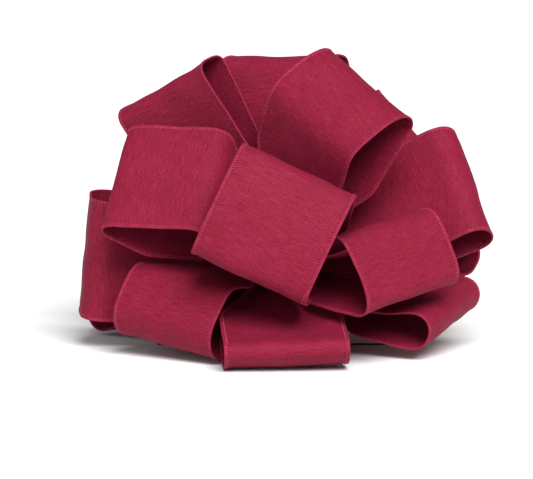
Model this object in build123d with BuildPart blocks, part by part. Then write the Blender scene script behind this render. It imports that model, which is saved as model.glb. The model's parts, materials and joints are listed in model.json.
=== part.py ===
from build123d import *
from collections import namedtuple
from math import cos, radians, sin, sqrt
import os

# A pre-made gift bow: one long wired-edge ribbon folded into loops that all meet in a pinched,
# wire-bound waist. Millimetres, +Z up. The origin is on the surface that the bow stands on, straight
# below the middle of the waist, and -Y is the bow's front.

# ---- Ribbon -------------------------------------------------------------------------------------
ribbon_width = 63.5        # 2.5 in ribbon, hem to hem
ribbon_thickness = 0.8     # doubled fabric with its stiffening
hem_width = 1.8            # folded and stitched edge
hem_thickness = 1.4
wire_side = 0.5            # wire inside each hem
wire_play = 0.05           # room round the wire in its hem

# ---- Waist --------------------------------------------------------------------------------------
knot_height = 40.0         # middle of the waist above the surface
neck_radius = 14.0         # where the loops leave the waist
neck_width = 12.0          # the ribbon's width where it is gathered
neck_clearance = 0.3       # between the waist and the necks of the loops
underside_radius = 4.3     # the waist's flat underside, where the tie meets it
binding_wire_diameter = 0.9
binding_turns = 3
binding_pitch = 1.0        # from one turn of the binding wire to the next
binding_play = 0.15        # between the outer turns and the sides of their groove
groove_depth = 1.4         # the waist is drawn in under the binding wire

# ---- Twist tie ----------------------------------------------------------------------------------
tie_width = 5.0
tie_thickness = 0.8
tie_end_radius = 2.0       # rounded corners of the two free ends
stem_radius = 1.8          # the two strands twisted together
foot_length = 23.0
leg_length = 48.0
leg_gap = 0.1              # between the foot and a leg's rounded end

# ---- Loops --------------------------------------------------------------------------------------
# Each loop leaves the knot towards its azimuth (0 is +X, -90 is the front) and elevation, turned by
# roll about its own length. upper and lower are the distances from the knot to the loop's two outer
# corners, opening is the angle between each corner and the loop's middle line, and radius_upper and
# radius_lower round those corners. The three sides bulge out (or in, if negative) by bulge_upper,
# bulge_end and bulge_lower. The ribbon reaches its full width at spread from the knot.
Loop = namedtuple(
    "Loop",
    "name azimuth elevation roll upper lower opening radius_upper radius_lower "
    "bulge_upper bulge_lower bulge_end spread",
)
LOOPS = [
    Loop("front_centre", -90, 18, -26, 122, 108, 16, 7, 9, 1, -1, 5, 72),
    Loop("left_front", -139, 36, -70, 82, 114, 18, 9, 6, -1, -3, -1, 70),
    Loop("upper_left", 168, 60, 66, 111, 111, 6, 5, 6, -1, 1, 0, 56),
    Loop("top_back", 78, 74, -9, 111, 117, 8, 11, 7, -1, -2, 0, 67),
    Loop("top_right", -48, 59, -84, 122, 97, 12, 11, 7, -3, 1, 7, 66),
    Loop("right", -7, 24, 60, 112, 110, 7, 10, 9, -1, 0, 5, 64),
    Loop("front_right", -51, 8, 10, 103, 119, 13, 5, 9, -5, -1, 0, 65),
    Loop("right_low", -24, -10, 12, 108, 103, 6, 8, 9, -5, 5, 0, 64),
    Loop("front_low", -86, -18, 2, 120, 84, 6, 5, 7, -2, 0, 8, 64),
    Loop("front_left_low", -129, -10, -8, 76, 116, 13, 11, 14, 0, 4, 0, 57),
    Loop("left_low", 185, 5, -96, 99, 99, 10, 10, 10, 0, 1, 0, 60),
    Loop("back_high", 80, 37, 46, 111, 112, 8, 9, 9, -1, -1, 3, 62),
    Loop("back_left", 128, 20, -57, 111, 111, 12, 9, 9, 1, 1, 3, 60),
    Loop("back_right", 38, 34, 67, 109, 112, 10, 9, 8, 0, 0, 3, 60),
    Loop("back_low", 83, -6, -6, 113, 113, 11, 10, 9, 1, 1, 3, 62),
    Loop("back_left_low", 138, -16, 1, 106, 107, 6, 8, 9, -4, 4, 0, 62),
    Loop("right_back_low", 28, -4, -23, 114, 100, 7, 10, 7, 0, -1, 2, 60),
]

knot = Vector(0, 0, knot_height)
reach = 2 * max(max(loop.upper, loop.lower) for loop in LOOPS)    # past the end of every loop

os.makedirs("parts", exist_ok=True)


def finish(builder, name):
    """Label a finished piece and write it."""
    builder.part.label = name
    export_step(builder.part, f"parts/{name}.step")


def directions(loop):
    """The loop's own directions: outward from the knot, across its ribbon, and their normal."""
    azimuth = radians(loop.azimuth)
    elevation = radians(loop.elevation)
    roll = radians(loop.roll)
    outward = Vector(cos(elevation) * cos(azimuth), cos(elevation) * sin(azimuth), sin(elevation))
    level = Vector(-sin(azimuth), cos(azimuth), 0)
    across = level * cos(roll) + outward.cross(level) * sin(roll)
    return outward, across, outward.cross(across)


def bulged(start, end, bulge):
    """A side of a loop: an arc that bulges out to the left of its way, or a straight line."""
    if bulge:
        SagittaArc(start, end, bulge)
    else:
        Line(start, end)


def middle_line(loop):
    """The straight and round edges of a loop's ribbon seen along its width, with X outward."""
    side = radians(loop.opening)
    top = (loop.upper * cos(side), loop.upper * sin(side))
    bottom = (loop.lower * cos(side), -loop.lower * sin(side))
    with BuildSketch() as outline:
        with BuildLine():
            bulged((0, 0), top, loop.bulge_upper)
            bulged(top, bottom, loop.bulge_end)
            bulged(bottom, (0, 0), loop.bulge_lower)
        make_face()
        fillet(outline.vertices().sort_by(Axis.Y)[-1], loop.radius_upper)
        fillet(outline.vertices().sort_by(Axis.Y)[0], loop.radius_lower)
    return outline.edges()


def rail(edge, aside):
    """A straight or round edge moved sideways."""
    points = [edge @ at + (edge % at).cross(Vector(0, 0, 1)) * aside for at in (0, 0.5, 1)]
    if edge.geom_type == GeomType.LINE:
        return Line(points[0], points[2])
    return ThreePointArc(*points)


def edge_on(loop, thickness):
    """A loop's ribbon seen along its width: a ring of this thickness, cut open at the waist."""
    outward, across, _ = directions(loop)
    with BuildSketch(Plane(knot, x_dir=outward, z_dir=-across)) as section:
        for edge in middle_line(loop):
            with BuildLine():
                outer = rail(edge, thickness / 2)
                inner = rail(edge, -thickness / 2)
                Line(outer @ 0, inner @ 0)
                Line(outer @ 1, inner @ 1)
            make_face()
        Circle(neck_radius, mode=Mode.SUBTRACT)
    return section.sketch


def face_on(loop, inset):
    """The outline of a loop seen square on its ribbon, drawn in by inset along both hems."""
    outward, _, normal = directions(loop)
    neck = neck_width / 2
    half = ribbon_width / 2
    hem = [(-reach, neck), (neck_radius, neck), (loop.spread, half), (2 * reach, half)]
    other_hem = [(along, -out) for along, out in reversed(hem)]
    with BuildSketch(Plane(knot, x_dir=outward, z_dir=normal)) as outline:
        with BuildLine():
            Polyline(*hem, *other_hem, close=True)
        make_face()
        if inset:
            offset(amount=-inset, kind=Kind.INTERSECTION)
    return outline.sketch


for loop in LOOPS:
    # The fabric between the two hems
    with BuildPart() as ribbon:
        extrude(edge_on(loop, ribbon_thickness), amount=ribbon_width / 2, both=True)
        extrude(face_on(loop, hem_width), amount=reach, both=True, mode=Mode.INTERSECT)
    finish(ribbon, f"{loop.name}_ribbon")

    # A fine wire along each edge of the fabric
    with BuildPart() as wires:
        extrude(edge_on(loop, wire_side), amount=ribbon_width / 2, both=True)
        extrude(face_on(loop, hem_width - wire_side), amount=reach, both=True, mode=Mode.INTERSECT)
        extrude(face_on(loop, hem_width), amount=reach, both=True, mode=Mode.SUBTRACT)
    finish(wires, f"{loop.name}_edge_wires")

    # The channel that each wire lies in, a little larger than the wire
    channel_width = wire_side + wire_play
    with BuildPart() as channels:
        extrude(edge_on(loop, wire_side + 2 * wire_play), amount=ribbon_width / 2, both=True)
        extrude(face_on(loop, hem_width - channel_width), amount=reach, both=True, mode=Mode.INTERSECT)

    # The folded hems, closed round the wires
    with BuildPart() as hems:
        extrude(edge_on(loop, hem_thickness), amount=ribbon_width / 2, both=True)
        extrude(face_on(loop, 0), amount=reach, both=True, mode=Mode.INTERSECT)
        extrude(face_on(loop, hem_width), amount=reach, both=True, mode=Mode.SUBTRACT)
        add(channels.part, mode=Mode.SUBTRACT)
    finish(hems, f"{loop.name}_hems")

# The gathered waist: a ball of pinched ribbon, flat underneath, with a groove under the binding wire
waist_radius = neck_radius - neck_clearance
waist_underside = knot_height - sqrt(waist_radius**2 - underside_radius**2)
groove_radius = waist_radius - groove_depth
groove_width = (binding_turns - 1) * binding_pitch + binding_wire_diameter + 2 * binding_play
with BuildPart() as waist:
    with BuildSketch(Plane.XZ) as half_section:
        with Locations((0, knot_height)):
            Circle(waist_radius)
            Rectangle(waist_radius, 2 * waist_radius, align=(Align.MIN, Align.CENTER), mode=Mode.INTERSECT)
        with Locations((groove_radius, knot_height)):
            Rectangle(waist_radius, groove_width, align=(Align.MIN, Align.CENTER), mode=Mode.SUBTRACT)
        with Locations((0, waist_underside)):
            Rectangle(waist_radius, waist_radius, align=(Align.MIN, Align.MAX), mode=Mode.SUBTRACT)
    revolve(axis=Axis.Z)
finish(waist, "gathered_waist")

# The binding wire: turns side by side in the groove
with BuildPart() as binding:
    for turn in range(binding_turns):
        lift = (turn - (binding_turns - 1) / 2) * binding_pitch
        with Locations((0, 0, knot_height + lift)):
            Torus(groove_radius + binding_wire_diameter / 2, binding_wire_diameter / 2)
finish(binding, "binding_wire")

# The twist tie: its foot lies on the surface, and its twisted stem runs up to the waist
with BuildPart() as foot:
    Box(foot_length, tie_width, tie_thickness, align=(Align.CENTER, Align.CENTER, Align.MIN))
finish(foot, "tie_foot")

with BuildPart() as stem:
    with BuildSketch(Plane.XY.offset(tie_thickness)):
        Circle(stem_radius)
    extrude(amount=waist_underside - tie_thickness)
finish(stem, "tie_stem")

# The two free legs of the tie. Each has a rounded inner end, on whose axis it bends
leg_bend = foot_length / 2 + leg_gap + tie_thickness / 2
for side, way in (("right", 1), ("left", -1)):
    with BuildPart() as leg:
        with BuildSketch(Plane.XZ) as side_view:
            with Locations((way * leg_bend, tie_thickness / 2)):
                Circle(tie_thickness / 2)
                Rectangle(leg_length, tie_thickness, align=(Align.MIN if way > 0 else Align.MAX, Align.CENTER))
        extrude(amount=tie_width / 2, both=True)
        outer_end = leg.faces().sort_by(Axis.X)[-1 if way > 0 else 0]
        fillet(outer_end.edges().filter_by(Axis.Z), tie_end_radius)
    finish(leg, f"tie_leg_{side}")
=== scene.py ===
"""A florist's gift bow of wired-edge ribbon: fabric loops, hems, stitches, wires, waist and twist tie."""

import json
import math
from functools import lru_cache
from types import SimpleNamespace

import bmesh
import bpy
import numpy as np
from bpy.props import FloatProperty, FloatVectorProperty, IntProperty, PointerProperty
from mathutils import Matrix, Vector, noise
from mathutils.bvhtree import BVHTree

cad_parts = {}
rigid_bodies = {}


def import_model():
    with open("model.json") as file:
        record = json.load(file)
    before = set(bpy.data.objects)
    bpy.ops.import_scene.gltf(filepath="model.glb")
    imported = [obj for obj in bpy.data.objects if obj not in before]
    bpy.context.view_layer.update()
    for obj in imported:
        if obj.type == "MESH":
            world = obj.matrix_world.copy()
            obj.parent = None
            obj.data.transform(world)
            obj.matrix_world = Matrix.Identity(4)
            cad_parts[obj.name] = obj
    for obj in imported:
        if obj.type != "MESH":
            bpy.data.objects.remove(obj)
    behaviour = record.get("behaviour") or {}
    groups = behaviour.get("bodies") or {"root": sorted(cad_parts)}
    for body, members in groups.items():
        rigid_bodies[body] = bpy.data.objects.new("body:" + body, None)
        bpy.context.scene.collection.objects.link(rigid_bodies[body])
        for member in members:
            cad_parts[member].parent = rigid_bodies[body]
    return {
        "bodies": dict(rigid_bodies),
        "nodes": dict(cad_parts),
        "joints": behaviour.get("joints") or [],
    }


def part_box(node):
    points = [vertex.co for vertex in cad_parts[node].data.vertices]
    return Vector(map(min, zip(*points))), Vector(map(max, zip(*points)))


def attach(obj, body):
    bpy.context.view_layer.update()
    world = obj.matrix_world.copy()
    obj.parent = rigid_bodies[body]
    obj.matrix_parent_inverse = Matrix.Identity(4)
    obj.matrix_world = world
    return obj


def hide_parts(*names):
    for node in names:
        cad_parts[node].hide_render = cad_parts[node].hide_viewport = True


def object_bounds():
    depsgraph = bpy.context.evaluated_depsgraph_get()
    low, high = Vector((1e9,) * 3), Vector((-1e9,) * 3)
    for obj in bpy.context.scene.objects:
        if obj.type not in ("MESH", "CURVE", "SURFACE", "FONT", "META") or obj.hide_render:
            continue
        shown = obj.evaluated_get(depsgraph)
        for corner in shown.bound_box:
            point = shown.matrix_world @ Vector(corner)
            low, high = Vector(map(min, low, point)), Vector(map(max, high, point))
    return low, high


bl_info = {
    "name": "Wired Ribbon Gift Bow",
    "version": (1, 0, 0),
    "blender": (4, 5, 0),
    "location": "View3D > Sidebar > Gift Bow",
    "description": "Makes the fabric, hems, stitches, wires, waist and tie of a pre-made gift bow",
    "category": "Object",
}

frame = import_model()
CAD_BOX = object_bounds()

WAIST = "waist"
LOOPS = [body for body in frame["bodies"] if f"{body}_ribbon" in frame["nodes"]]
LEGS = [body for body in frame["bodies"] if body.startswith("tie_leg")]
MM = 0.001


# ---- Settings -----------------------------------------------------------------------------------
def length(name, description, default):
    """A size in metres."""
    return FloatProperty(name=name, description=description, default=default, unit="LENGTH", precision=5)


def colour(name, description, default):
    """A colour without transparency."""
    return FloatVectorProperty(
        name=name, description=description, default=default, subtype="COLOR", size=3, min=0, max=1
    )


class GiftBowRibbon(bpy.types.PropertyGroup):
    """Sizes of the ribbon and of what is sewn into it."""

    width: length("Ribbon width", "From hem to hem, laid flat", 63.5 * MM)
    fabric_thickness: length("Fabric thickness", "One ply of the ribbon", 0.5 * MM)
    hem_width: length("Hem width", "From the wired edge to the row of stitches", 1.8 * MM)
    wire_diameter: length("Wire diameter", "Fine wire inside each edge", 0.45 * MM)
    stitch_pitch: length("Stitch pitch", "From one stitch to the next", 1.35 * MM)
    stitch_length: length("Stitch length", "How far a stitch reaches across the hem's inner edge", 1.1 * MM)
    stitch_width: length("Stitch width", "Of the thread, along the hem", 0.66 * MM)
    stitch_height: length("Stitch height", "Through the cloth, from top to bottom", 1.2 * MM)
    pleat_height: length("Pleat height", "Rise of the gathers where a loop meets the waist", 1.1 * MM)
    pleats: IntProperty(name="Pleats", description="Gathers across a loop's neck", default=5, min=1)
    billow: length("Billow", "Soft unevenness of the fabric between its wires", 1.2 * MM)
    ruffle: length("Ruffle", "Unevenness of the wired edges", 1.1 * MM)
    tuck: length("Tuck", "How far each loop's ends go into the waist", 2.5 * MM)


class GiftBowTie(bpy.types.PropertyGroup):
    """Sizes of the waist and the twist tie."""

    waist_pleats: IntProperty(name="Waist pleats", description="Folds around the waist", default=17, min=3)
    waist_pleat_depth: length("Waist pleat depth", "Depth of the folds around the waist", 0.9 * MM)
    strand_radius: length("Strand radius", "Each of the stem's two twisted strands", 0.85 * MM)
    twist_pitch: length("Twist pitch", "Height of one full twist of the stem", 5.2 * MM)
    wing_thickness: length("Wing thickness", "The flat coating beside the tie's wire", 0.32 * MM)
    binding_wire: length("Binding wire diameter", "Wire in the waist's groove", 0.9 * MM)


class GiftBowColours(bpy.types.PropertyGroup):
    """Colours of the finishes."""

    warp: colour("Warp", "Threads along the ribbon", (0.160, 0.0050, 0.0205))
    weft: colour("Weft", "Slubbed threads across the ribbon", (0.266, 0.0150, 0.047))
    # Darkened further, this tone also gives the painted shade in the needle's dimples
    shade: colour("Shade", "Darker mottling of the cloth", (0.125, 0.003, 0.014))
    thread: colour("Thread", "Sewing thread", (0.50, 0.060, 0.11))
    steel: colour("Steel", "Bare wire", (0.56, 0.56, 0.57))
    coating: colour("Coating", "Plastic of the twist tie", (0.17, 0.009, 0.026))
    floor: colour("Floor", "Pale floor", (0.92, 0.92, 0.925))


class GiftBowStage(bpy.types.PropertyGroup):
    """Camera and light."""

    camera_distance: length("Camera distance", "From the camera to the point that it looks at", 3.0)
    camera_height: length("Look-at height", "Height of the point that the camera looks at", 55.2 * MM)
    camera_aside: length("Look-at offset", "How far that point is to the right of the waist", -2.9 * MM)
    camera_elevation: FloatProperty(
        name="Camera elevation", description="Above the horizon", default=math.radians(6.5), subtype="ANGLE"
    )
    view_width: length("View width", "Width of the view at the bow", 277.16 * MM)
    key: FloatProperty(name="Key light", description="Strength of the broad light in front", default=5.0)
    fill: FloatProperty(name="Fill light", description="Strength of the weak light on the left", default=0.6)
    sky: FloatProperty(name="Sky", description="Strength of the even light all round", default=0.3)
    softness: FloatProperty(
        name="Softness", description="How wide the lights look", default=math.radians(34), subtype="ANGLE"
    )


# ---- Finishes -----------------------------------------------------------------------------------
# Painted shade in the needle's dimples: the distance of its row from the fabric's edge, and its half
# widths at the rim and at the floor.
HOLES_FROM_EDGE = 0.95 * MM
HOLE_RIM = 0.55 * MM
HOLE_FLOOR = 0.3 * MM


class Finish:
    """A material under construction: its nodes, and the sockets that they link."""

    def __init__(self, name):
        self.material = bpy.data.materials.new(name)
        self.material.use_nodes = True
        self.tree = self.material.node_tree
        self.shader = self.tree.nodes["Principled BSDF"]

    def node(self, kind, inputs=None, **settings):
        """A node with its settings, and its inputs set to values or linked to other nodes' outputs."""
        made = self.tree.nodes.new(kind)
        for key, value in settings.items():
            setattr(made, key, value)
        for key, value in (inputs or {}).items():
            if isinstance(value, bpy.types.NodeSocket):
                self.tree.links.new(value, made.inputs[key])
            else:
                made.inputs[key].default_value = value
        return made

    def surface(self, **values):
        """Constants and links for the shader's own sockets, named with _ for a space."""
        for key, value in values.items():
            socket = self.shader.inputs[key.replace("_", " ")]
            if isinstance(value, bpy.types.NodeSocket):
                self.tree.links.new(value, socket)
            else:
                socket.default_value = value

    def on_weave(self):
        """Where a point lies on the woven ribbon, along it and across it in metres."""
        return self.node("ShaderNodeUVMap", uv_map="weave").outputs["UV"]

    def on_object(self):
        """Where a point lies on its object."""
        return self.node("ShaderNodeTexCoord").outputs["Object"]

    def stretched_noise(self, place, scale, detail=2.0, roughness=0.5):
        """Noise whose grain has its own size along each direction of the place it reads."""
        mapped = self.node("ShaderNodeMapping", {"Vector": place, "Scale": scale})
        return self.node(
            "ShaderNodeTexNoise",
            {"Vector": mapped.outputs["Vector"], "Scale": 1.0, "Detail": detail, "Roughness": roughness},
        ).outputs["Fac"]

    def ramp(self, factor, low, high):
        """The factor stretched so that low gives 0 and high gives 1."""
        return self.node(
            "ShaderNodeMapRange", {"Value": factor, "From Min": low, "From Max": high}
        ).outputs["Result"]

    def mix(self, factor, first, second):
        """One colour turning into another."""
        made = self.node("ShaderNodeMix", data_type="RGBA")
        for socket, value in zip((made.inputs[0], made.inputs[6], made.inputs[7]), (factor, first, second)):
            if isinstance(value, bpy.types.NodeSocket):
                self.tree.links.new(value, socket)
            else:
                socket.default_value = value if isinstance(value, float) else (*value, 1.0)
        return made.outputs[2]

    def math(self, operation, first, second):
        """Two values joined by an operation."""
        return self.node("ShaderNodeMath", {0: first, 1: second}, operation=operation).outputs[0]

    def tinted(self, tone, mask, amount, target_colour):
        """A tone that turns into another colour by up to this amount where the mask is 1: the cloth's own
        tones, and the painted shade of the needle's dimples.
        """
        return self.mix(self.math("MULTIPLY", mask, amount), tone, tuple(target_colour))

    def between(self, factor, low, high):
        """A value from low to high, as the factor goes from 0 to 1."""
        return self.node(
            "ShaderNodeMapRange", {"Value": factor, "To Min": low, "To Max": high}
        ).outputs["Result"]

    def relief(self, strength, depth, height):
        """The normal of a surface whose relief follows the height."""
        return self.node(
            "ShaderNodeBump", {"Strength": strength, "Distance": depth, "Height": height}
        ).outputs["Normal"]


def shaded(tone, share):
    """A colour made darker or brighter."""
    return tuple(min(1.0, part * share) for part in tone)


def needle_hole_shade(cloth, place):
    """A mask of painted shade in the sewing's dimples between its stitches, along both edges of the weave.
    """
    ribbon = bpy.context.scene.gift_bow_ribbon
    split = cloth.node("ShaderNodeSeparateXYZ", {"Vector": place})
    other_edge = cloth.math("SUBTRACT", ribbon.width, split.outputs["Y"])
    from_edge = cloth.math("MINIMUM", split.outputs["Y"], other_edge)
    from_row = cloth.math("ABSOLUTE", cloth.math("SUBTRACT", from_edge, HOLES_FROM_EDGE), 0.0)
    turns = cloth.math("MULTIPLY", split.outputs["X"], math.tau / ribbon.stitch_pitch)
    gaps = cloth.ramp(cloth.math("COSINE", turns, 0.0), 0.2, -0.3)
    return cloth.math("MULTIPLY", cloth.ramp(from_row, HOLE_RIM, HOLE_FLOOR), gaps)


@lru_cache(maxsize=None)
def woven_finish():
    """Slubbed taffeta: thick and thin threads across the ribbon, finer ones along it."""
    colours = bpy.context.scene.gift_bow_colours
    cloth = Finish("slubbed_taffeta")
    place = cloth.on_weave()
    slubs = cloth.stretched_noise(place, (1700, 120, 1), 3.0, 0.6)
    threads = cloth.stretched_noise(place, (260, 2300, 1), 2.0, 0.6)
    picks = cloth.stretched_noise(place, (1500, 1050, 1), 2.0, 0.6)
    mottle = cloth.stretched_noise(place, (42, 30, 1), 3.0, 0.55)
    tone = cloth.mix(cloth.ramp(slubs, 0.36, 0.64), tuple(colours.warp), tuple(colours.weft))
    tone = cloth.tinted(tone, cloth.ramp(threads, 0.55, 0.30), 0.45, colours.shade)
    tone = cloth.tinted(tone, cloth.ramp(picks, 0.54, 0.38), 0.75, colours.shade)
    tone = cloth.tinted(tone, cloth.ramp(mottle, 0.62, 0.34), 0.35, colours.shade)
    # Painted shade in the needle's dimples between the stitches, darker than the cloth's own shade tone
    tone = cloth.tinted(tone, needle_hole_shade(cloth, place), 0.85, shaded(colours.shade, 0.35))
    height = cloth.math("ADD", cloth.math("MULTIPLY", slubs, 1.1), cloth.math("ADD", threads, picks))
    cloth.surface(
        Base_Color=tone,
        Normal=cloth.relief(0.55, 0.22 * MM, height),
        Roughness=cloth.between(picks, 0.60, 0.78),
        Specular_IOR_Level=0.11,
        Sheen_Weight=0.08,
        Sheen_Roughness=0.5,
        Sheen_Tint=(0.9, 0.08, 0.24, 1.0),
    )
    return cloth.material


@lru_cache(maxsize=None)
def hem_finish():
    """The same cloth rolled tight over its wire, which makes it shine a little more."""
    colours = bpy.context.scene.gift_bow_colours
    hem = Finish("rolled_hem")
    place = hem.on_weave()
    ribs = hem.stretched_noise(place, (1500, 160, 1), 2.0, 0.6)
    wear = hem.stretched_noise(place, (90, 60, 1), 3.0, 0.6)
    tone = hem.mix(hem.ramp(ribs, 0.34, 0.66), tuple(colours.warp), tuple(colours.weft))
    tone = hem.tinted(tone, hem.ramp(wear, 0.5, 0.8), 0.15, colours.thread)
    hem.surface(
        Base_Color=tone,
        Normal=hem.relief(0.6, 0.18 * MM, ribs),
        Roughness=0.66,
        Specular_IOR_Level=0.12,
        Sheen_Weight=0.12,
        Sheen_Roughness=0.4,
        Sheen_Tint=(0.95, 0.12, 0.28, 1.0),
    )
    return hem.material


@lru_cache(maxsize=None)
def thread_finish():
    """Polyester sewing thread with a twist."""
    colours = bpy.context.scene.gift_bow_colours
    thread = Finish("sewing_thread")
    place = thread.on_object()
    twist = thread.stretched_noise(place, (4200, 4200, 4200), 1.0, 0.5)
    tone = thread.mix(thread.ramp(twist, 0.35, 0.65), tuple(colours.weft), tuple(colours.thread))
    thread.surface(
        Base_Color=tone, Normal=thread.relief(0.4, 0.1 * MM, twist), Roughness=0.5, Specular_IOR_Level=0.2
    )
    return thread.material


@lru_cache(maxsize=None)
def steel_finish():
    """Soft drawn wire with fine scratches and a dull film."""
    colours = bpy.context.scene.gift_bow_colours
    steel = Finish("drawn_wire")
    place = steel.on_object()
    film = steel.stretched_noise(place, (700, 700, 700), 4.0, 0.6)
    scratches = steel.stretched_noise(place, (600, 600, 9000), 2.0, 0.6)
    steel.surface(
        Base_Color=steel.mix(steel.ramp(film, 0.35, 0.7), tuple(colours.steel), shaded(colours.steel, 0.7)),
        Metallic=1.0,
        Roughness=steel.between(film, 0.28, 0.5),
        Normal=steel.relief(0.25, 0.05 * MM, scratches),
    )
    return steel.material


@lru_cache(maxsize=None)
def coating_finish():
    """Ribbed plastic coating of the twist tie, scuffed in patches."""
    colours = bpy.context.scene.gift_bow_colours
    coating = Finish("tie_coating")
    place = coating.on_object()
    ribs = coating.stretched_noise(place, (150, 3800, 150), 2.0, 0.5)
    scuffs = coating.stretched_noise(place, (320, 320, 320), 4.0, 0.65)
    scuffed = tuple(part + 0.02 for part in shaded(colours.coating, 1.5))
    coating.surface(
        Base_Color=coating.mix(coating.ramp(scuffs, 0.5, 0.74), tuple(colours.coating), scuffed),
        Normal=coating.relief(0.4, 0.1 * MM, ribs),
        Roughness=coating.between(scuffs, 0.36, 0.58),
        Specular_IOR_Level=0.5,
    )
    return coating.material


def floor_finish(tone):
    """Matt paper floor."""
    paper = Finish("pale_floor")
    place = paper.on_object()
    grain = paper.stretched_noise(place, (60, 60, 60), 3.0, 0.5)
    mottled = paper.mix(paper.ramp(grain, 0.3, 0.7), tone, shaded(tone, 1.01))
    paper.surface(Base_Color=mottled, Roughness=0.9, Specular_IOR_Level=0.1)
    return paper.material


# ---- A loop's course ----------------------------------------------------------------------------
OUTLINE_POINTS = 200       # read along a CAD ribbon's outer side
STATIONS = 400             # even steps of a finished course
FOLD_EASING = 5            # rounds of smoothing that every fold gets
WIDTH_EASING = 8           # the same for the width, where the ribbon starts to taper
# More rounds for the loops whose ribbon bends round softly instead of being creased
SOFT_FOLDS = {
    "front_right": 70,
    "front_left_low": 25,
    "left_front": 20,
    "right": 25,
    "right_low": 15,
    "top_back": 12,
    "top_right": 22,
}
BESIDE_MIDDLE = 0.4 * MM   # the cut keeps this far from the mesh edges in the middle plane itself
NECK_TOLERANCE = 0.05 * MM # the cut ends at the waist lie this evenly round it
SAME_PLACE = 0.001 * MM    # closer points than this are one
SEED_STEP = 7.31           # sets each loop's unevenness apart from the last one's


def joined_up(node):
    """A copy of a CAD node's mesh with its loose triangles joined."""
    bm = bmesh.new()
    bm.from_mesh(frame["nodes"][node].data)
    bmesh.ops.remove_doubles(bm, verts=bm.verts, dist=SAME_PLACE)
    return bm


def middle_outline(node, knot, across):
    """The closed outline in which a plane beside a loop's middle cuts its CAD ribbon, in order."""
    bm = joined_up(node)
    bmesh.ops.bisect_plane(
        bm,
        geom=bm.verts[:] + bm.edges[:] + bm.faces[:],
        plane_co=knot + across * BESIDE_MIDDLE,
        plane_no=across,
        clear_inner=True,
        clear_outer=True,
    )
    bm.verts.ensure_lookup_table()
    outline, edge = [bm.verts[0]], None
    while True:
        edge = next(e for e in outline[-1].link_edges if e is not edge)
        following = edge.other_vert(outline[-1])
        if following is outline[0]:
            break
        outline.append(following)
    points = np.array([v.co - across * across.dot(v.co - knot) for v in outline])
    bm.free()
    return points


def plies(outline, knot):
    """The outer and the inner run of the outline, between the two cut ends at the waist."""
    away = np.linalg.norm(outline - np.array(knot), axis=1)
    at_neck = away < away.min() + NECK_TOLERANCE
    count = len(outline)
    leaving = [i for i in range(count) if at_neck[i] and not at_neck[(i + 1) % count]]
    runs = []
    for first in leaving:
        run = [outline[first]]
        at = first
        while True:
            at = (at + 1) % count
            run.append(outline[at])
            if at_neck[at]:
                break
        runs.append(np.array(run))
    runs.sort(key=lambda run: -distances(run)[-1])
    return runs[0], runs[1]


def distances(points):
    """How far along a line each of its points lies."""
    return np.concatenate([[0.0], np.cumsum(np.linalg.norm(np.diff(points, axis=0), axis=1))])


def evenly(points, count):
    """A line's points at even distances."""
    run = distances(points)
    at = np.linspace(0.0, run[-1], count)
    return np.stack([np.interp(at, run, points[:, k]) for k in range(3)], axis=1)


def nearest_on(line, point):
    """The point of a line of straight pieces that is nearest to a point."""
    start, way = line[:-1], np.diff(line, axis=0)
    share = np.clip(((point - start) * way).sum(1) / np.maximum((way * way).sum(1), 1e-18), 0, 1)
    found = start + way * share[:, None]
    return found[np.argmin(((found - point) ** 2).sum(1))]


def softened(values, rounds):
    """Values eased towards their neighbours, with both ends kept."""
    for _ in range(rounds):
        eased = (values[:-2] + 2 * values[1:-1] + values[2:]) / 4
        values = np.concatenate([values[:1], eased, values[-1:]])
    return values


def extended(start, second, by):
    """A point past the start of a line, straight on from its second point."""
    return start + (start - second) / np.linalg.norm(start - second) * by


def half_widths(body, middle, across):
    """The distance from each point of a loop's middle line to the outer edge of its hem."""
    bm = joined_up(f"{body}_hems")
    hems = BVHTree.FromBMesh(bm)
    bm.free()
    reach = bpy.context.scene.gift_bow_ribbon.width
    half = np.full(len(middle), np.nan)
    for i, point in enumerate(middle):
        hit = hems.ray_cast(Vector(point) + across * reach, -across, reach)[0]
        if hit is not None:
            half[i] = (hit - Vector(point)).dot(across)
    known = np.flatnonzero(~np.isnan(half))
    return np.interp(np.arange(len(half)), known, half[known])


@lru_cache(maxsize=None)
def course_of(body):
    """A loop's middle line from waist to waist, with its directions and its half width on the way."""
    ribbon = bpy.context.scene.gift_bow_ribbon
    joint = next(j for j in frame["joints"] if j["child"] == body)
    knot, across = Vector(joint["pos_m"]), Vector(joint["axis"]).normalized()
    outer, inner = plies(middle_outline(f"{body}_ribbon", knot, across), knot)
    outer = evenly(outer, OUTLINE_POINTS)
    middle = np.array([(point + nearest_on(inner, point)) / 2 for point in outer])
    tip = OUTLINE_POINTS // 2
    outward = middle[tip] - middle.mean(axis=0)
    if np.cross(middle[tip] - middle[tip - 1], np.array(across)) @ outward < 0:
        middle = middle[::-1]

    half = half_widths(body, middle, across)
    first = extended(middle[0], middle[1], ribbon.tuck)
    last = extended(middle[-1], middle[-2], ribbon.tuck)
    middle = softened(np.vstack([first, middle, last]), FOLD_EASING + SOFT_FOLDS.get(body, 0))
    half = softened(np.concatenate([half[:1], half, half[-1:]]), WIDTH_EASING)
    run = distances(middle)
    half = np.interp(np.linspace(0.0, run[-1], STATIONS + 1), run, half)
    middle = evenly(middle, STATIONS + 1)
    normal = np.cross(np.gradient(middle, axis=0), np.array(across))
    return SimpleNamespace(
        across=across,
        length=float(run[-1]),
        points=[Vector(point) for point in middle],
        normals=[Vector(way).normalized() for way in normal],
        halves=half.tolist(),
        gathers=((half.max() - half) / (half.max() - half.min())).tolist(),
        seed=LOOPS.index(body) * SEED_STEP,
    )


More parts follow.
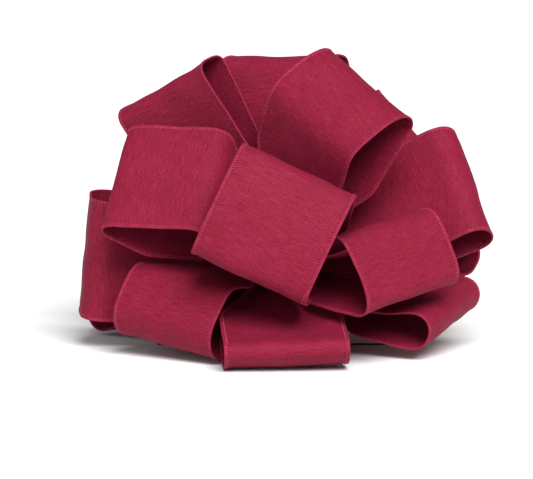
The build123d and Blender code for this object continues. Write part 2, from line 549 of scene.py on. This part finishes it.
def along_course(course, run):
    """The middle point, outward normal, half width and gathering at a distance along a loop."""
    station = max(0.0, min(run / course.length, 1.0)) * STATIONS
    before = min(int(station), STATIONS - 1)
    share = station - before
    return (
        course.points[before].lerp(course.points[before + 1], share),
        course.normals[before].lerp(course.normals[before + 1], share).normalized(),
        course.halves[before] * (1 - share) + course.halves[before + 1] * share,
        course.gathers[before] * (1 - share) + course.gathers[before + 1] * share,
    )


# The cloth's unevenness: how often each kind of wave comes in a metre of ribbon and across half of it
SOFT_WAVES = (22, 1.1)
FINE_WAVES = (70, 2.6)
FINE_SEED = 40             # sets the fine waves apart from the soft ones
FINE_SHARE = 0.45          # their height against the soft ones'
EDGE_WAVES = 55            # along the wired edges, in a metre
EDGES_APART = 9            # sets the waves of the two edges apart
PLEAT_SWAY = 0.12          # how far the gathers wander sideways, as a share of the half width
PLEAT_SWAY_TURN = 60       # and how fast, in radians a metre
CREASE_WAVES = 2.3         # half waves of the broad creases in half of the ribbon's width
CREASE_SHARE = 0.35        # their height against the gathers'
PLEAT_FADE = 1.4           # how quickly the gathers fade away from the waist
CREASES_END = 0.02         # the gathering at which they have faded out


def rise(course, run, share, gather):
    """How far the cloth stands off its even course, at a distance along it and a share of its half width."""
    ribbon = bpy.context.scene.gift_bow_ribbon
    seed = course.seed
    sway = PLEAT_SWAY * math.sin(seed + run * PLEAT_SWAY_TURN)
    gathers = gather**PLEAT_FADE * math.cos(math.pi * ribbon.pleats * (share + sway) + seed)
    crease = math.sin(math.pi * CREASE_WAVES * share + seed)
    creases = CREASE_SHARE * max(0.0, gather - CREASES_END) ** 0.5 * crease
    soft = noise.noise(Vector((run * SOFT_WAVES[0], share * SOFT_WAVES[1], seed)))
    fine = noise.noise(Vector((run * FINE_WAVES[0], share * FINE_WAVES[1], seed + FINE_SEED)))
    wavy = noise.noise(Vector((run * EDGE_WAVES, math.copysign(EDGES_APART, share), seed)))
    at_edge = share**4
    return (
        ribbon.pleat_height * (gathers + creases)
        + ribbon.billow * (soft + FINE_SHARE * fine) * (1 - at_edge)
        + ribbon.ruffle * at_edge * wavy
    )


def on_cloth(course, run, aside, lift=0.0):
    """A point at a height over a loop's cloth, aside of its middle line, and not under the surface."""
    point, normal, half, gather = along_course(course, run)
    share = max(-1.0, min(1.0, aside / half))
    found = point + course.across * aside + normal * (rise(course, run, share, gather) + lift)
    found.z = max(found.z, CAD_BOX[0][2])
    return found


# ---- Making pieces ------------------------------------------------------------------------------
def weave_grid(bm, stations, strips, place, weave):
    """A grid bent to place(along, over), with a map of its weave, weave(along, over), both from 0 to 1."""
    bmesh.ops.create_grid(bm, x_segments=stations, y_segments=strips, size=0.5)
    layer = bm.loops.layers.uv.new("weave")
    for face in bm.faces:
        for loop in face.loops:
            loop[layer].uv = weave(loop.vert.co.x + 0.5, loop.vert.co.y + 0.5)
    for vert in bm.verts:
        vert.co = place(vert.co.x + 0.5, vert.co.y + 0.5)


def mesh_of(bm, name):
    """A mesh made from a bmesh, which ends there."""
    mesh = bpy.data.meshes.new(name)
    bm.to_mesh(mesh)
    bm.free()
    return mesh


def placed(name, data):
    """A new object in the scene."""
    made = bpy.data.objects.new(name, data)
    bpy.context.scene.collection.objects.link(made)
    return made


def closed_tube(bm, stations, around, place, run, girth):
    """A tube with closed ends. Its points are place(along, turn), and run and girth size its weave map."""
    made = bmesh.new()
    weave_grid(made, stations, around, place, lambda along, turn: (along * run, turn * girth))
    bmesh.ops.remove_doubles(made, verts=made.verts, dist=SAME_PLACE)
    bmesh.ops.holes_fill(made, edges=[e for e in made.edges if e.is_boundary], sides=0)
    bmesh.ops.recalc_face_normals(made, faces=made.faces)
    mesh = mesh_of(made, "tube")
    bm.from_mesh(mesh)
    bpy.data.meshes.remove(mesh)


def finished(bm, name, finish, body, slot, *stands_for):
    """The piece made from a bmesh: smooth, finished, riding its body, and standing for its CAD nodes."""
    mesh = mesh_of(bm, name)
    mesh.materials.append(finish)
    mesh.shade_smooth()
    piece = placed(name, mesh)
    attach(piece, body)
    if stands_for:
        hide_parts(*stands_for)
    return piece


def closed_section(start, upper, end):
    """A cross-section, alike above and below: its point at each turn round it, 0 to 1, and its corners."""
    lower = [(across, -height) for across, height in reversed(upper)]
    outline = [start, *upper, end, *lower]
    corners = [Vector(corner) for corner in (*outline, start)]

    def at(turn):
        whole = min(int(turn * len(outline) + 1e-6), len(outline) - 1)
        return corners[whole].lerp(corners[whole + 1], turn * len(outline) - whole)

    return at, len(outline)


# ---- Operators ----------------------------------------------------------------------------------
WIRE_INSET = 0.6 * MM      # from the ribbon's edge to the middle of its wire
PUCKER = 0.05 * MM         # how far the hem swells above and below here and there along it
STITCH_PAST_HEM = 0.05 * MM
# The upper side of the folded hem: inset from the ribbon's edge, and height over the cloth. A round
# bead holds the wire, and the two flat turned-in plies lie on the fabric.
HEM_UPPER = [
    (0.12 * MM, 0.36 * MM),
    (0.50 * MM, 0.56 * MM),
    (0.92 * MM, 0.46 * MM),
    (1.20 * MM, 0.37 * MM),
    (1.72 * MM, 0.36 * MM),
]


class GIFTBOW_OT_edge_wires(bpy.types.Operator):
    """Make the fine wires that run inside the ribbon's edges"""

    bl_idname = "giftbow.edge_wires"
    bl_label = "Edge Wires"

    def execute(self, context):
        ribbon = context.scene.gift_bow_ribbon
        radius = ribbon.wire_diameter / 2
        for body in LOOPS:
            course = course_of(body)
            bm = bmesh.new()
            for side in (1, -1):

                def place(along, turn):
                    run = along * course.length
                    inset = WIRE_INSET + radius * math.cos(math.tau * turn)
                    half = along_course(course, run)[2]
                    return on_cloth(course, run, side * (half - inset), radius * math.sin(math.tau * turn))

                closed_tube(
                    bm, stations=150, around=8, place=place, run=course.length, girth=math.tau * radius
                )
            finished(bm, f"{body}_wires", steel_finish(), body, "edge_wire", f"{body}_edge_wires")
        return {"FINISHED"}


class GIFTBOW_OT_hems(bpy.types.Operator):
    """Make the folded hems along both edges of every loop"""

    bl_idname = "giftbow.hems"
    bl_label = "Hems"

    def execute(self, context):
        ribbon = context.scene.gift_bow_ribbon
        section, corners = closed_section((0.0, 0.0), HEM_UPPER, (ribbon.hem_width, 0.0))
        for body in LOOPS:
            course = course_of(body)
            bm = bmesh.new()
            for side in (1, -1):

                def place(along, turn):
                    run = along * course.length
                    inset, lift = section(turn)
                    half = along_course(course, run)[2]
                    if lift:
                        swell = PUCKER * abs(math.cos(math.tau * run / ribbon.stitch_pitch))
                        lift += math.copysign(swell, lift)
                    return on_cloth(course, run, side * (half - inset), lift)

                stations = int(course.length / ribbon.stitch_pitch) * 2
                closed_tube(bm, stations, corners, place, course.length, 2 * ribbon.hem_width)
            finished(bm, f"{body}_hem", hem_finish(), body, "hem_fabric", f"{body}_hems")
        return {"FINISHED"}


class GIFTBOW_OT_stitches(bpy.types.Operator):
    """Make the row of stitches that closes each hem"""

    bl_idname = "giftbow.stitches"
    bl_label = "Stitches"

    def execute(self, context):
        ribbon = context.scene.gift_bow_ribbon
        for body in LOOPS:
            course = course_of(body)
            bm = bmesh.new()
            for side in (1, -1):
                for number in range(2, int(course.length / ribbon.stitch_pitch) - 2):
                    self.stitch(bm, ribbon, course, side, number)
            finished(bm, f"{body}_stitches", thread_finish(), body, "hem_fabric")
        return {"FINISHED"}

    def stitch(self, bm, ribbon, course, side, number):
        """One stitch across the hem's inner edge. Every other one slants the other way."""
        step, slant = 0.3 * MM, 0.35 * (-1) ** number
        run = number * ribbon.stitch_pitch
        aside = along_course(course, run)[2] - ribbon.hem_width - STITCH_PAST_HEM
        centre = on_cloth(course, run, side * aside)
        ahead = on_cloth(course, run + step, side * aside) - centre
        inward = (on_cloth(course, run, side * (aside - step)) - centre).normalized()
        up = inward.cross(ahead).normalized()
        ahead = (up.cross(inward) + inward * slant).normalized()
        axes = Matrix((ahead, inward, up)).transposed().to_4x4()
        halves = (ribbon.stitch_width / 2, ribbon.stitch_length / 2, ribbon.stitch_height / 2, 1.0)
        shape = Matrix.Translation(centre) @ axes @ Matrix.Diagonal(halves)
        bmesh.ops.create_icosphere(bm, subdivisions=1, radius=1.0, matrix=shape)


class GIFTBOW_OT_fabric(bpy.types.Operator):
    bl_idname = "giftbow.fabric"
    bl_label = "Loop Fabric"

    def execute(self, context):
        ribbon = context.scene.gift_bow_ribbon
        for body in LOOPS:
            course = course_of(body)
            tucked = WIRE_INSET + ribbon.wire_diameter

            def place(along, over):
                run = along * course.length
                half = along_course(course, run)[2] - tucked
                return on_cloth(course, run, (2 * over - 1) * half)

            def weave(along, over):
                return along * course.length, over * ribbon.width

            bm = bmesh.new()
            weave_grid(bm, stations=190, strips=36, place=place, weave=weave)
            cloth = finished(bm, f"{body}_fabric", woven_finish(), body, "ribbon_fabric", f"{body}_ribbon")
            wall = cloth.modifiers.new("ply", "SOLIDIFY")
            wall.thickness = ribbon.fabric_thickness
            wall.offset = 0.0
        return {"FINISHED"}


class GIFTBOW_OT_waist(bpy.types.Operator):
    """Make the pinched waist with its folds, drawn in under the binding wire"""

    bl_idname = "giftbow.waist"
    bl_label = "Pinched Waist"

    def execute(self, context):
        tie = context.scene.gift_bow_tie
        low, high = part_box("gathered_waist")
        wire_low, wire_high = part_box("binding_wire")
        middle = (wire_low.z + wire_high.z) / 2
        radius = (high.x - low.x) / 2
        groove = 1.5 * (wire_high.z - wire_low.z) / 2
        bed = (wire_high.x - wire_low.x) / 2 - tie.binding_wire
        crumple = 0.25 * MM
        bm = bmesh.new()
        bmesh.ops.create_uvsphere(bm, u_segments=136, v_segments=64, radius=1.0, calc_uvs=False)
        layer = bm.loops.layers.uv.new("weave")
        for face in bm.faces:
            for loop in face.loops:
                around = math.atan2(loop.vert.co.y, loop.vert.co.x)
                loop[layer].uv = (loop.vert.co.z * radius, around * radius)
        for vert in bm.verts:
            height = vert.co.z * radius
            around = math.atan2(vert.co.y, vert.co.x)
            level = math.hypot(vert.co.x, vert.co.y)
            # Folds run up and down, wander and lean a little, and fade out at the poles
            wander = 1.5 * noise.noise(vert.co * 3.1)
            lean = 60 * height
            fold = 0.5 + 0.5 * math.cos(tie.waist_pleats * around + wander + lean)
            depth = tie.waist_pleat_depth * fold * min(1.0, 3 * level)
            depth += crumple * (1 + noise.noise(vert.co * 9))
            out = level * (radius - depth)
            # The binding wire draws them in to the bed of its groove
            pinch = math.exp(-((height / groove) ** 4))
            out = out * (1 - pinch) + min(out, bed) * pinch
            where = Vector((vert.co.x, vert.co.y, 0)) / max(level, 1e-6) * out
            vert.co = Vector((where.x, where.y, max(middle + height, low.z)))
        bmesh.ops.recalc_face_normals(bm, faces=bm.faces)
        finished(bm, "pinched_waist", woven_finish(), WAIST, "ribbon_fabric", "gathered_waist")
        return {"FINISHED"}


class GIFTBOW_OT_binding(bpy.types.Operator):
    """Give the binding wire its drawn-steel finish"""

    bl_idname = "giftbow.binding"
    bl_label = "Binding Wire"

    def execute(self, context):
        node = frame["nodes"]["binding_wire"]
        node.data.materials.clear()
        node.data.materials.append(steel_finish())
        return {"FINISHED"}


class GIFTBOW_OT_tie_stem(bpy.types.Operator):
    """Make the tie's two strands, twisted round each other up to the waist"""

    bl_idname = "giftbow.tie_stem"
    bl_label = "Tie Stem"

    def execute(self, context):
        tie = context.scene.gift_bow_tie
        low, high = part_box("tie_stem")
        into_waist = 1.5 * MM
        bottom, top = low.z, high.z + into_waist
        radius = tie.strand_radius
        flattened = 1.15
        bm = bmesh.new()
        for start in (0.0, math.pi):

            def place(along, turn):
                height = bottom + along * (top - bottom)
                angle = start + math.tau * (height - bottom) / tie.twist_pitch
                out = Vector((math.cos(angle), math.sin(angle), 0))
                aside = Vector((-math.sin(angle), math.cos(angle), 0))
                rim = out * math.cos(math.tau * turn) * radius
                side = aside * math.sin(math.tau * turn) * radius * flattened
                return out * radius + rim + side + Vector((0, 0, height))

            closed_tube(
                bm, stations=96, around=14, place=place, run=top - bottom, girth=math.tau * radius
            )
        finished(bm, "twisted_stem", coating_finish(), WAIST, "twist_tie", "tie_stem")
        return {"FINISHED"}


def strip(name, node, body, rounded):
    """A length of twist tie where a CAD strip lies: a wire down its middle and a flat wing each side.

    rounded is 1 or -1 where the end towards +X or -X is a free, rounded one, and 0 where neither is.
    """
    tie = bpy.context.scene.gift_bow_tie
    low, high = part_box(node)
    wide, thick = (high.y - low.y) / 2, (high.z - low.z) / 2
    wing, shoulder = tie.wing_thickness / 2, 0.72 * thick
    upper = [
        (-0.92, wing),
        (-0.5, wing),
        (-0.22, wing),
        (-0.13, shoulder),
        (0.0, thick),
        (0.13, shoulder),
        (0.22, wing),
        (0.5, wing),
        (0.92, wing),
    ]
    section, corners = closed_section((-1.0, 0.0), upper, (1.0, 0.0))
    reach, tip = high.x - low.x, 0.4 * (high.y - low.y)
    ripple_height, ripples = 0.06 * MM, 900

    def place(along, turn):
        x = low.x + along * reach
        share, height = section(turn)
        from_end = {1: high.x - x, -1: x - low.x, 0: tip}[rounded]
        narrowing = tip - math.sqrt(max(0.0, tip**2 - max(0.0, tip - from_end) ** 2))
        if abs(height) < 0.9 * thick:
            ripple = ripple_height * noise.noise(Vector((x * ripples, share, 3)))
            height += math.copysign(ripple, height)
        return Vector((x, share * (wide - narrowing), low.z + thick + height))

    bm = bmesh.new()
    closed_tube(bm, stations=120, around=corners, place=place, run=reach, girth=4 * wide)
    return finished(bm, name, coating_finish(), body, "twist_tie", node)


class GIFTBOW_OT_tie_strips(bpy.types.Operator):
    """Make the tie's foot and its two free legs"""

    bl_idname = "giftbow.tie_strips"
    bl_label = "Tie Strips"

    def execute(self, context):
        strip("tie_foot_strip", "tie_foot", WAIST, 0)
        for body in LEGS:
            strip(f"{body}_strip", body, body, 1 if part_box(body)[1].x > 0 else -1)
        return {"FINISHED"}


# Where the two lights shine from, and how far the floor reaches each way
KEY_FROM = (0.17, -0.77, 0.63)
FILL_FROM = (-0.32, -0.9, 0.22)
FLOOR_REACH = 14.0


class GIFTBOW_OT_stage(bpy.types.Operator):
    """Set the camera, the pale floor and the soft studio light"""

    bl_idname = "giftbow.stage"
    bl_label = "Stage"

    def execute(self, context):
        stage = context.scene.gift_bow_stage
        look_at = Vector((stage.camera_aside, 0, stage.camera_height))
        tilt = stage.camera_elevation
        back = Vector((0, -math.cos(tilt), math.sin(tilt)))
        data = bpy.data.cameras.new("camera")
        data.sensor_width = 36.0
        data.lens = data.sensor_width * stage.camera_distance / stage.view_width
        data.clip_start, data.clip_end = 0.05, 60.0
        camera = placed("camera", data)
        camera.location = look_at + back * stage.camera_distance
        camera.rotation_euler = (-back).to_track_quat("-Z", "Y").to_euler()
        context.scene.camera = camera

        bm = bmesh.new()
        bmesh.ops.create_grid(bm, x_segments=8, y_segments=8, size=FLOOR_REACH)
        mesh = mesh_of(bm, "floor")
        mesh.materials.append(floor_finish(tuple(context.scene.gift_bow_colours.floor)))
        placed("floor", mesh)

        context.scene.view_settings.view_transform = "Standard"
        self.light("key", stage.key, KEY_FROM, stage.softness)
        self.light("fill", stage.fill, FILL_FROM, stage.softness)
        world = bpy.data.worlds.new("studio")
        world.use_nodes = True
        background = world.node_tree.nodes["Background"]
        background.inputs["Color"].default_value = (1.0, 1.0, 1.0, 1.0)
        background.inputs["Strength"].default_value = stage.sky
        context.scene.world = world
        return {"FINISHED"}

    def light(self, name, strength, place, softness):
        """A broad even light that shines from a place towards the bow."""
        data = bpy.data.lights.new(name, "SUN")
        data.energy, data.angle = strength, softness
        lamp = placed(name, data)
        lamp.location = place
        lamp.rotation_euler = (-Vector(place)).to_track_quat("-Z", "Y").to_euler()


STEPS = (
    GIFTBOW_OT_stage,
    GIFTBOW_OT_waist,
    GIFTBOW_OT_binding,
    GIFTBOW_OT_edge_wires,
    GIFTBOW_OT_hems,
    GIFTBOW_OT_stitches,
    GIFTBOW_OT_fabric,
    GIFTBOW_OT_tie_stem,
    GIFTBOW_OT_tie_strips,
)
SETTINGS = {
    "gift_bow_ribbon": GiftBowRibbon,
    "gift_bow_tie": GiftBowTie,
    "gift_bow_colours": GiftBowColours,
    "gift_bow_stage": GiftBowStage,
}


class GIFTBOW_PT_panel(bpy.types.Panel):
    """The bow's steps and settings"""

    bl_idname = "GIFTBOW_PT_panel"
    bl_label = "Gift Bow"
    bl_space_type = "VIEW_3D"
    bl_region_type = "UI"
    bl_category = "Gift Bow"

    def draw(self, context):
        for step in STEPS:
            self.layout.operator(step.bl_idname)
        for name, group in SETTINGS.items():
            box = self.layout.box()
            for key in group.__annotations__:
                box.prop(getattr(context.scene, name), key)


def register():
    for group in SETTINGS.values():
        bpy.utils.register_class(group)
    for name, group in SETTINGS.items():
        setattr(bpy.types.Scene, name, PointerProperty(type=group))
    for step in (*STEPS, GIFTBOW_PT_panel):
        bpy.utils.register_class(step)


def unregister():
    for step in reversed((*STEPS, GIFTBOW_PT_panel)):
        bpy.utils.unregister_class(step)
    for name, group in SETTINGS.items():
        delattr(bpy.types.Scene, name)
        bpy.utils.unregister_class(group)


def main():
    register()
    for step in STEPS:
        area, name = step.bl_idname.split(".")
        getattr(getattr(bpy.ops, area), name)()


if __name__ == "__main__":
    main()
